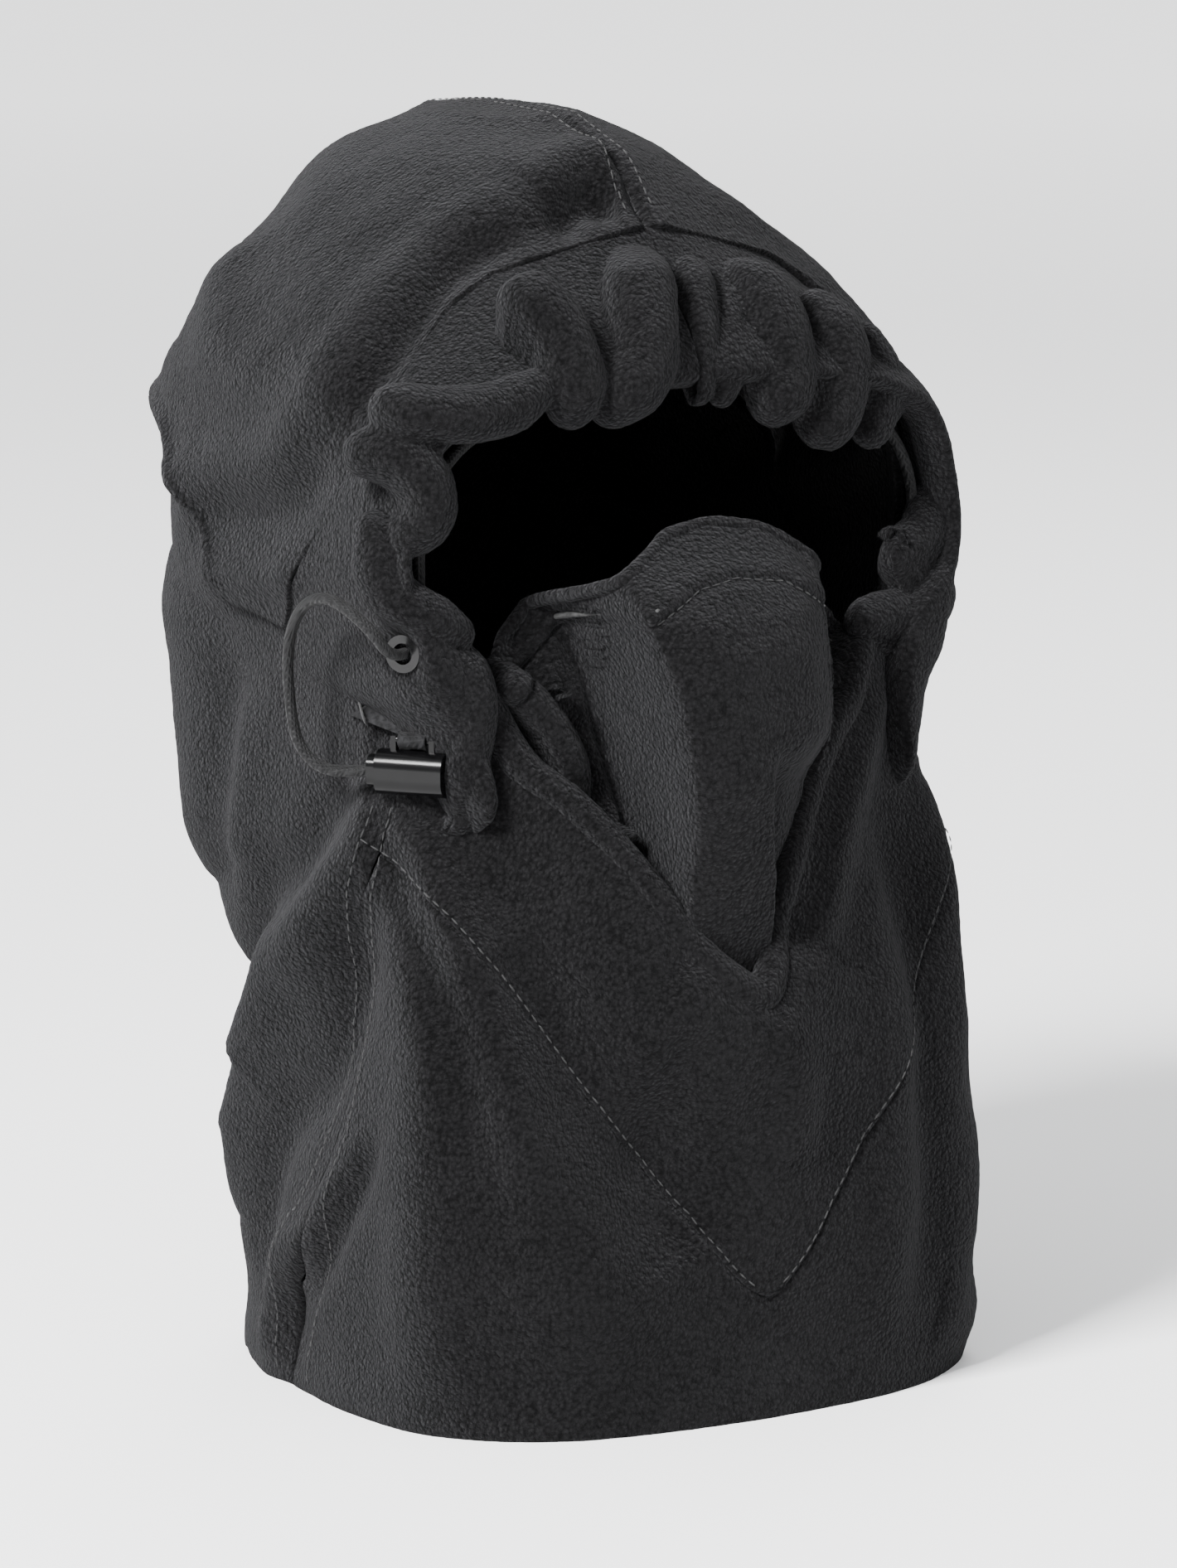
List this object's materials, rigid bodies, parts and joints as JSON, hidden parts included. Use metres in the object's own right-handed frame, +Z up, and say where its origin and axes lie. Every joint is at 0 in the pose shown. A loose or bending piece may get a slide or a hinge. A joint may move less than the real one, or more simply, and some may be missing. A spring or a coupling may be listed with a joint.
{
  "type": "hooded fleece balaclava",
  "caption": "Loose hooded fleece balaclava with a gathered face opening, beaked mask, V neckline, eyelet, drawcord loop and sprung cord lock.",
  "frame": {"origin": "centre of the neck opening, on the plane that the hem stands on", "axes": "+Z up, -Y the way the face looks, +X the wearer's left"},
  "size_m": [0.1825, 0.206, 0.312],
  "materials": {
    "fleece": "brushed fleece",
    "cord": "braided elastic cord",
    "webbing": "grosgrain",
    "thread": "polyester thread",
    "gloss_plastic": "moulded gloss",
    "eyelet_metal": "black gloss lacquer",
    "spring_steel": "drawn wire",
    "label": "woven satin",
    "elastic": "knitted elastic"
  },
  "bodies": {
    "garment": {"bib_lower_panel": "fleece", "bib_yoke": "fleece", "brow_band_left": "fleece", "brow_band_right": "fleece", "brow_roll_left": "fleece", "brow_roll_right": "fleece", "care_label": "label", "face_cord": "cord", "hood_left_panel": "fleece", "hood_right_panel": "fleece", "mask_cheek_left": "fleece", "mask_cheek_right": "fleece", "mask_elastic": "elastic", "mask_nose_panel": "fleece", "mask_top_casing": "fleece", "neck_back_panel": "fleece", "right_cord_loop": "cord", "right_eyelet_barrel": "eyelet_metal", "right_eyelet_washer": "eyelet_metal", "right_lock_tab": "webbing", "right_tab_tack": "thread", "side_label": "label"},
    "right_lock": {"right_lock_barrel": "gloss_plastic", "right_lock_spring": "spring_steel"},
    "right_plunger": {"right_lock_plunger": "gloss_plastic"}
  },
  "joints": [
    {"name": "right_lock_swing", "type": "hinge", "parent": "garment", "child": "right_lock", "pos_m": [-0.07413, -0.03652, 0.1689], "axis": [-0.5879, 0.809, 0], "range_deg": [0, 35]},
    {"name": "right_plunger_slide", "type": "slide", "parent": "right_lock", "child": "right_plunger", "axis": [0.5879, -0.809, 0], "range_m": [0, 0.0025], "stiffness_N_per_m": 250, "springref_m": -0.002, "deforming": ["right_lock_spring"]}
  ]
}
